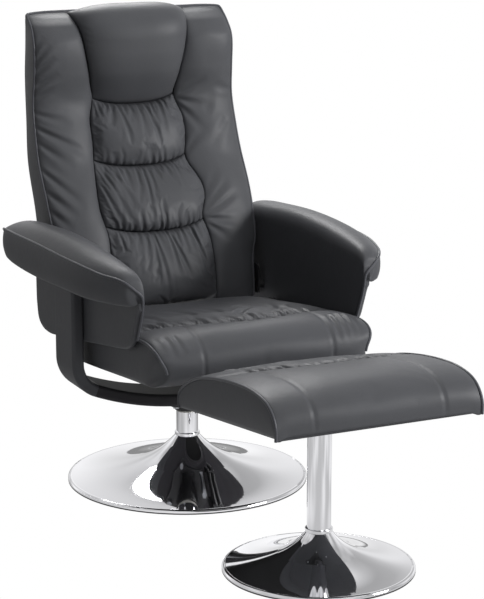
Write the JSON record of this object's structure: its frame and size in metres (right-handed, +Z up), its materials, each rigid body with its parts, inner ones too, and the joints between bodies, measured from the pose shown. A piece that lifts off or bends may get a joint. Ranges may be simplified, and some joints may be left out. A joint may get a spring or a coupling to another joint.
{
  "type": "swivel recliner with footstool",
  "caption": "Leather swivel recliner on a round chromed pedestal with a matching free-standing footstool.",
  "frame": {"origin": "on the floor, at the axis of the chair's column", "axes": "+Z up; the chair faces -Y, towards its footstool; +X is the left-hand side of the sitter"},
  "size_m": [0.7346, 1.3464, 1.0533],
  "materials": {
    "chromed_steel": "polished",
    "zinc_plated_steel": "satin",
    "black_steel": "satin",
    "charcoal_leather": "satin",
    "stained_wood": "satin",
    "frame_wood": "matte",
    "black_plastic": "satin",
    "bearing_plastic": "satin",
    "cast_iron": "matte",
    "webbing": "matte",
    "dust_cover_cloth": "matte"
  },
  "bodies": {
    "base": {"chair_base_disc": "chromed_steel", "chair_column": "chromed_steel", "chair_collar": "chromed_steel", "chair_floor_pad": "black_plastic", "chair_ballast": "cast_iron", "chair_column_plug": "zinc_plated_steel", "chair_base_bolt": "zinc_plated_steel", "upper_swivel_bush": "bearing_plastic", "lower_swivel_bush": "bearing_plastic", "thrust_washer": "bearing_plastic"},
    "turntable": {"swivel_spindle": "zinc_plated_steel", "spindle_clip": "zinc_plated_steel", "swivel_plate": "black_steel", "swivel_plate_bolts": "zinc_plated_steel", "crossbeam": "stained_wood", "left_post": "stained_wood", "right_post": "stained_wood", "carrier_dowels": "frame_wood", "knob_nut": "zinc_plated_steel", "left_arm_pad": "charcoal_leather", "right_arm_pad": "charcoal_leather", "left_arm_panel": "charcoal_leather", "right_arm_panel": "charcoal_leather", "arm_bolts": "zinc_plated_steel", "seat_pivot_pins": "zinc_plated_steel", "back_hinge_pins": "zinc_plated_steel", "back_hinge_spacers": "zinc_plated_steel"},
    "seat": {"left_seat_rail": "frame_wood", "right_seat_rail": "frame_wood", "front_seat_rail": "frame_wood", "rear_seat_rail": "frame_wood", "seat_webbing": "webbing", "seat_dust_cover": "dust_cover_cloth", "seat_cushion": "charcoal_leather", "seat_brackets": "zinc_plated_steel", "seat_bracket_screws": "zinc_plated_steel"},
    "back": {"back_board": "frame_wood", "back_rear_pad": "charcoal_leather", "left_bolster": "charcoal_leather", "right_bolster": "charcoal_leather", "head_pillow": "charcoal_leather", "upper_back_cushion": "charcoal_leather", "middle_back_cushion": "charcoal_leather", "lower_back_cushion": "charcoal_leather", "back_brackets": "zinc_plated_steel", "back_bracket_screws": "zinc_plated_steel"},
    "knob": {"lock_knob": "black_plastic"},
    "stool": {"stool_base_disc": "chromed_steel", "stool_column": "chromed_steel", "stool_collar": "chromed_steel", "stool_floor_pad": "black_plastic", "stool_ballast": "cast_iron", "stool_column_plug": "zinc_plated_steel", "stool_base_bolt": "zinc_plated_steel", "stool_board": "frame_wood", "stool_cushion": "charcoal_leather", "stool_plate": "black_steel", "stool_plate_screws": "zinc_plated_steel"}
  },
  "joints": [
    {"name": "chair_swivel", "type": "hinge", "parent": "base", "child": "turntable", "pos_m": [0, 0, 0.17], "axis": [0, 0, 1], "continuous": true},
    {"name": "back_recline", "type": "hinge", "parent": "turntable", "child": "back", "pos_m": [0, 0.135, 0.405], "axis": [-1, 0, 0], "range_deg": [0, 28]},
    {"name": "seat_tilt", "type": "hinge", "parent": "turntable", "child": "seat", "pos_m": [0, 0.06, 0.372], "axis": [-1, 0, 0], "range_deg": [0, 5.6]},
    {"name": "knob_turn", "type": "hinge", "parent": "turntable", "child": "knob", "pos_m": [0.064, -0.034, 0.156], "axis": [0, 0, 1], "range_deg": [0, 180]},
    {"name": "stool_slide", "type": "slide", "parent": "base", "child": "stool", "axis": [0, -1, 0], "range_m": [0, 0.4]}
  ],
  "couplings": [
    {"joint": "seat_tilt", "follows": "back_recline", "ratio": 0.2}
  ]
}
